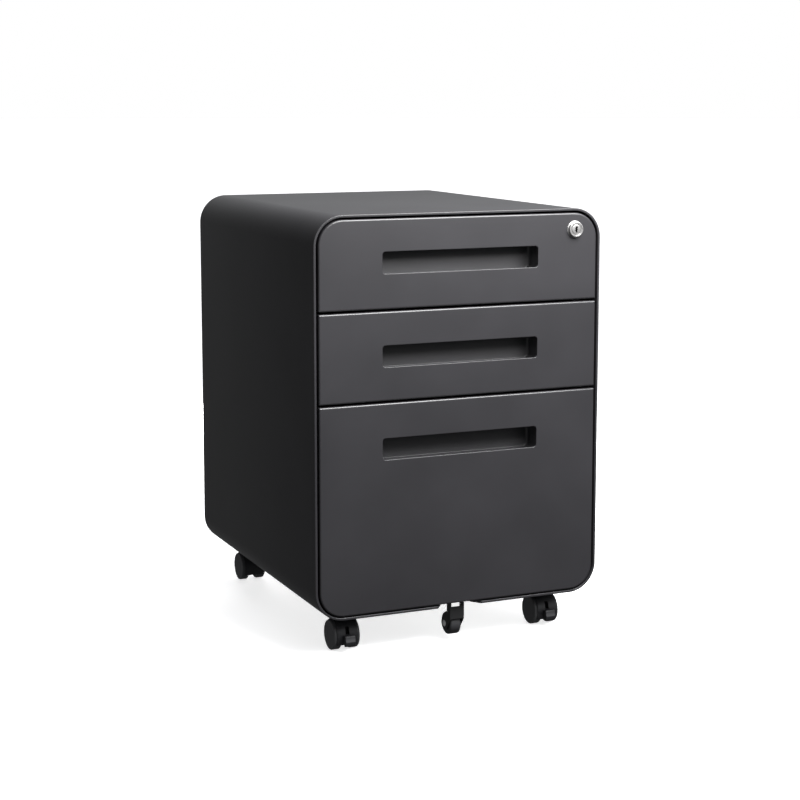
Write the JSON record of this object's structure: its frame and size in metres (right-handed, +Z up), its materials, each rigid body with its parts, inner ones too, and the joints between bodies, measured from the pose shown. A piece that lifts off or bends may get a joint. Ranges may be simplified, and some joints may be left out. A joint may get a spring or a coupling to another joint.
{
  "type": "rolling pedestal cabinet",
  "caption": "Steel under-desk pedestal with box drawers over a file drawer, recessed handles, a cam lock, braked twin-wheel casters and an anti-tip wheel.",
  "frame": {"origin": "on the floor under the middle of the cabinet's bounding box", "axes": "+X to the right seen from the front, -Y the way the drawers open, +Z up"},
  "size_m": [0.39, 0.4556, 0.55],
  "materials": {
    "powder_coat": "satin charcoal powder coat",
    "liner_coat": "satin charcoal powder coat on the inner sheets",
    "zinc_steel": "bright zinc-plated steel",
    "lock_chrome": "polished nickel-chrome",
    "black_steel": "satin black coated steel",
    "black_plastic": "moulded black nylon, fine texture",
    "wheel_plastic": "moulded black nylon, smooth"
  },
  "bodies": {
    "cabinet": {"outer_shell": "powder_coat", "back_panel": "powder_coat", "slide_uprights": "zinc_steel", "front_base_channel": "zinc_steel", "rear_base_channel": "zinc_steel", "slide_outer_members": "zinc_steel", "lock_bar_guides": "zinc_steel", "caster_stems": "zinc_steel", "caster_nuts": "zinc_steel"},
    "lock_bar": {"lock_bar": "zinc_steel"},
    "top_drawer": {"top_front": "powder_coat", "top_liner": "liner_coat", "top_handle_cup": "powder_coat", "top_tray": "liner_coat", "top_slide_inner": "zinc_steel", "top_screws": "zinc_steel", "lock_housing": "lock_chrome", "lock_nut": "zinc_steel"},
    "top_slide": {"top_slide_intermediate": "zinc_steel"},
    "lock_cylinder": {"lock_plug": "lock_chrome", "lock_cam": "zinc_steel"},
    "middle_drawer": {"middle_front": "powder_coat", "middle_liner": "liner_coat", "middle_handle_cup": "powder_coat", "middle_tray": "liner_coat", "middle_slide_inner": "zinc_steel", "middle_screws": "zinc_steel"},
    "middle_slide": {"middle_slide_intermediate": "zinc_steel"},
    "file_drawer": {"file_front": "powder_coat", "file_liner": "liner_coat", "file_handle_cup": "powder_coat", "file_tray": "liner_coat", "file_slide_inner": "zinc_steel", "file_screws": "zinc_steel", "hanging_rails": "black_steel", "fifth_wheel_fork": "black_steel", "fork_rivets": "zinc_steel", "fifth_wheel_axle": "zinc_steel"},
    "file_slide": {"file_slide_intermediate": "zinc_steel"},
    "fifth_wheel": {"fifth_wheel": "wheel_plastic"},
    "caster_front_left": {"caster_front_left_housing": "black_plastic", "caster_front_left_axle": "zinc_steel"},
    "caster_front_left_wheel_outer": {"caster_front_left_wheel_outer": "wheel_plastic"},
    "caster_front_left_wheel_inner": {"caster_front_left_wheel_inner": "wheel_plastic"},
    "caster_front_left_pedal": {"caster_front_left_pedal": "black_plastic"},
    "caster_front_right": {"caster_front_right_housing": "black_plastic", "caster_front_right_axle": "zinc_steel"},
    "caster_front_right_wheel_outer": {"caster_front_right_wheel_outer": "wheel_plastic"},
    "caster_front_right_wheel_inner": {"caster_front_right_wheel_inner": "wheel_plastic"},
    "caster_front_right_pedal": {"caster_front_right_pedal": "black_plastic"},
    "caster_rear_left": {"caster_rear_left_housing": "black_plastic", "caster_rear_left_axle": "zinc_steel"},
    "caster_rear_left_wheel_outer": {"caster_rear_left_wheel_outer": "wheel_plastic"},
    "caster_rear_left_wheel_inner": {"caster_rear_left_wheel_inner": "wheel_plastic"},
    "caster_rear_right": {"caster_rear_right_housing": "black_plastic", "caster_rear_right_axle": "zinc_steel"},
    "caster_rear_right_wheel_outer": {"caster_rear_right_wheel_outer": "wheel_plastic"},
    "caster_rear_right_wheel_inner": {"caster_rear_right_wheel_inner": "wheel_plastic"}
  },
  "joints": [
    {"name": "top_drawer_slide", "type": "slide", "parent": "cabinet", "child": "top_drawer", "axis": [0, -1, 0], "range_m": [0, 0.37]},
    {"name": "top_rail_slide", "type": "slide", "parent": "cabinet", "child": "top_slide", "axis": [0, -1, 0], "range_m": [0, 0.185]},
    {"name": "middle_drawer_slide", "type": "slide", "parent": "cabinet", "child": "middle_drawer", "axis": [0, -1, 0], "range_m": [0, 0.37]},
    {"name": "middle_rail_slide", "type": "slide", "parent": "cabinet", "child": "middle_slide", "axis": [0, -1, 0], "range_m": [0, 0.185]},
    {"name": "file_drawer_slide", "type": "slide", "parent": "cabinet", "child": "file_drawer", "axis": [0, -1, 0], "range_m": [0, 0.37]},
    {"name": "file_rail_slide", "type": "slide", "parent": "cabinet", "child": "file_slide", "axis": [0, -1, 0], "range_m": [0, 0.185]},
    {"name": "lock_turn", "type": "hinge", "parent": "top_drawer", "child": "lock_cylinder", "pos_m": [0.158, -0.22225, 0.5234], "axis": [0, 1, 0], "range_deg": [0, 90]},
    {"name": "lock_bar_slide", "type": "slide", "parent": "cabinet", "child": "lock_bar", "axis": [0, 0, -1], "range_m": [0, 0.0099]},
    {"name": "fifth_wheel_roll", "type": "hinge", "parent": "file_drawer", "child": "fifth_wheel", "pos_m": [0, -0.19625, 0.023], "axis": [1, 0, 0], "continuous": true},
    {"name": "caster_front_left_swivel", "type": "hinge", "parent": "cabinet", "child": "caster_front_left", "pos_m": [-0.141, -0.15825, 0.051], "axis": [0, 0, 1], "continuous": true},
    {"name": "caster_front_left_roll_outer", "type": "hinge", "parent": "caster_front_left", "child": "caster_front_left_wheel_outer", "pos_m": [-0.141, -0.17225, 0.019], "axis": [1, 0, 0], "continuous": true},
    {"name": "caster_front_left_roll_inner", "type": "hinge", "parent": "caster_front_left", "child": "caster_front_left_wheel_inner", "pos_m": [-0.141, -0.17225, 0.019], "axis": [1, 0, 0], "continuous": true},
    {"name": "caster_front_left_brake", "type": "hinge", "parent": "caster_front_left", "child": "caster_front_left_pedal", "pos_m": [-0.141, -0.18925, 0.02], "axis": [1, 0, 0], "range_deg": [0, 15]},
    {"name": "caster_front_right_swivel", "type": "hinge", "parent": "cabinet", "child": "caster_front_right", "pos_m": [0.141, -0.15825, 0.051], "axis": [0, 0, 1], "continuous": true},
    {"name": "caster_front_right_roll_outer", "type": "hinge", "parent": "caster_front_right", "child": "caster_front_right_wheel_outer", "pos_m": [0.141, -0.17225, 0.019], "axis": [1, 0, 0], "continuous": true},
    {"name": "caster_front_right_roll_inner", "type": "hinge", "parent": "caster_front_right", "child": "caster_front_right_wheel_inner", "pos_m": [0.141, -0.17225, 0.019], "axis": [1, 0, 0], "continuous": true},
    {"name": "caster_front_right_brake", "type": "hinge", "parent": "caster_front_right", "child": "caster_front_right_pedal", "pos_m": [0.141, -0.18925, 0.02], "axis": [1, 0, 0], "range_deg": [0, 15]},
    {"name": "caster_rear_left_swivel", "type": "hinge", "parent": "cabinet", "child": "caster_rear_left", "pos_m": [-0.141, 0.20075, 0.051], "axis": [0, 0, 1], "continuous": true},
    {"name": "caster_rear_left_roll_outer", "type": "hinge", "parent": "caster_rear_left", "child": "caster_rear_left_wheel_outer", "pos_m": [-0.141, 0.18675, 0.019], "axis": [1, 0, 0], "continuous": true},
    {"name": "caster_rear_left_roll_inner", "type": "hinge", "parent": "caster_rear_left", "child": "caster_rear_left_wheel_inner", "pos_m": [-0.141, 0.18675, 0.019], "axis": [1, 0, 0], "continuous": true},
    {"name": "caster_rear_right_swivel", "type": "hinge", "parent": "cabinet", "child": "caster_rear_right", "pos_m": [0.141, 0.20075, 0.051], "axis": [0, 0, 1], "continuous": true},
    {"name": "caster_rear_right_roll_outer", "type": "hinge", "parent": "caster_rear_right", "child": "caster_rear_right_wheel_outer", "pos_m": [0.141, 0.18675, 0.019], "axis": [1, 0, 0], "continuous": true},
    {"name": "caster_rear_right_roll_inner", "type": "hinge", "parent": "caster_rear_right", "child": "caster_rear_right_wheel_inner", "pos_m": [0.141, 0.18675, 0.019], "axis": [1, 0, 0], "continuous": true}
  ],
  "couplings": [
    {"joint": "top_rail_slide", "follows": "top_drawer_slide", "ratio": 0.5},
    {"joint": "middle_rail_slide", "follows": "middle_drawer_slide", "ratio": 0.5},
    {"joint": "file_rail_slide", "follows": "file_drawer_slide", "ratio": 0.5},
    {"joint": "lock_turn", "follows": "lock_bar_slide", "rad_per_m": 158.67}
  ]
}
